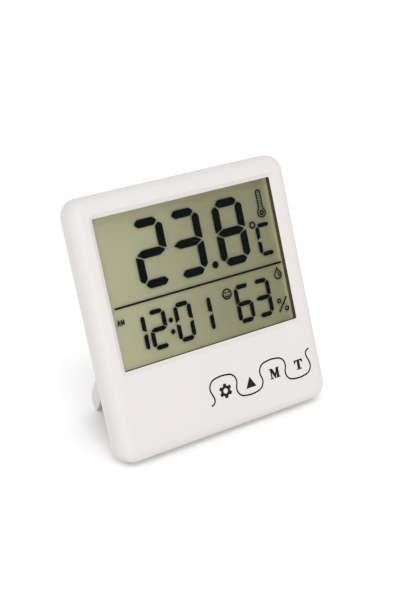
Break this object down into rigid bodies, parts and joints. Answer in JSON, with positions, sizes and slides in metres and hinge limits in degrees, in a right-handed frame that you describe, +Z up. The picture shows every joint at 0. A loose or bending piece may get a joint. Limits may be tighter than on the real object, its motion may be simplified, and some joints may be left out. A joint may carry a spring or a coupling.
{
  "type": "thermometer hygrometer clock",
  "caption": "Desk clock with a large reflective digital display for temperature, humidity and time, keys cut into its front panel and a fold-out stand.",
  "frame": {"origin": "middle of the bounding box's underside, on the surface that the clock stands on", "axes": "+Z up, front faces -Y and leans back, +X to the right seen from the front"},
  "size_m": [0.098, 0.0518, 0.0966],
  "materials": {
    "white_abs": "satin moulded ABS",
    "black_foam": "soft foam",
    "polarizer_film": "thin film",
    "display_glass": "clear",
    "reflector_film": "matt grey-green film",
    "holder_plastic": "plain moulded",
    "zebra_rubber": "striped silicone",
    "board": "solder mask",
    "switch_body": "moulded",
    "plunger": "moulded",
    "chip_epoxy": "epoxy blob",
    "steel": "plated",
    "ceramic_chip": "fired",
    "sensor_body": "moulded",
    "thermistor": "epoxy bead",
    "brass": "rolled",
    "piezo": "silvered",
    "cell_can": "wrapped",
    "red_wire": "insulation",
    "black_wire": "insulation"
  },
  "bodies": {
    "case": {"front_shell": "white_abs", "rear_shell": "white_abs", "lcd_gasket": "black_foam", "lcd_polarizer": "polarizer_film", "lcd_front_glass": "display_glass", "lcd_rear_glass": "display_glass", "lcd_reflector": "reflector_film", "lcd_holder": "holder_plastic", "zebra_strip": "zebra_rubber", "main_board": "board", "tact_switches": "switch_body", "chip_cover": "chip_epoxy", "crystal": "steel", "capacitors": "ceramic_chip", "resistors": "switch_body", "humidity_sensor": "sensor_body", "thermistor": "thermistor", "board_screws": "steel", "case_screws": "steel", "battery_can": "cell_can", "battery_cap": "steel", "plate_contact": "steel", "spring_contact": "steel", "red_lead": "red_wire", "black_lead": "black_wire", "buzzer_disc": "brass", "buzzer_ceramic": "piezo"},
    "key_set": {"key_set": "white_abs", "plunger_set": "plunger"},
    "key_up": {"key_up": "white_abs", "plunger_up": "plunger"},
    "key_mode": {"key_mode": "white_abs", "plunger_mode": "plunger"},
    "key_unit": {"key_unit": "white_abs", "plunger_unit": "plunger"},
    "battery_door": {"battery_door": "white_abs"},
    "stand": {"stand": "white_abs"}
  },
  "joints": [
    {"name": "press_set", "type": "hinge", "parent": "case", "child": "key_set", "pos_m": [0, -0.02201, 0.01436], "axis": [-1, 0, 0], "range_deg": [0, 3.15], "stiffness_Nm_per_rad": 0.12},
    {"name": "press_up", "type": "hinge", "parent": "case", "child": "key_up", "pos_m": [0.012, -0.01882, 0.02254], "axis": [1, 0, 0], "range_deg": [0, 3.15], "stiffness_Nm_per_rad": 0.12},
    {"name": "press_mode", "type": "hinge", "parent": "case", "child": "key_mode", "pos_m": [0.024, -0.02201, 0.01436], "axis": [-1, 0, 0], "range_deg": [0, 3.15], "stiffness_Nm_per_rad": 0.12},
    {"name": "press_unit", "type": "hinge", "parent": "case", "child": "key_unit", "pos_m": [0.036, -0.01882, 0.02254], "axis": [1, 0, 0], "range_deg": [0, 3.15], "stiffness_Nm_per_rad": 0.12},
    {"name": "door_swing", "type": "hinge", "parent": "case", "child": "battery_door", "pos_m": [0, 0.01166, 0.04539], "axis": [-1, 0, 0], "range_deg": [0, 60]},
    {"name": "stand_fold", "type": "hinge", "parent": "case", "child": "stand", "pos_m": [0, 0.00481, 0.03668], "axis": [1, 0, 0], "range_deg": [-48.08, 0]}
  ]
}
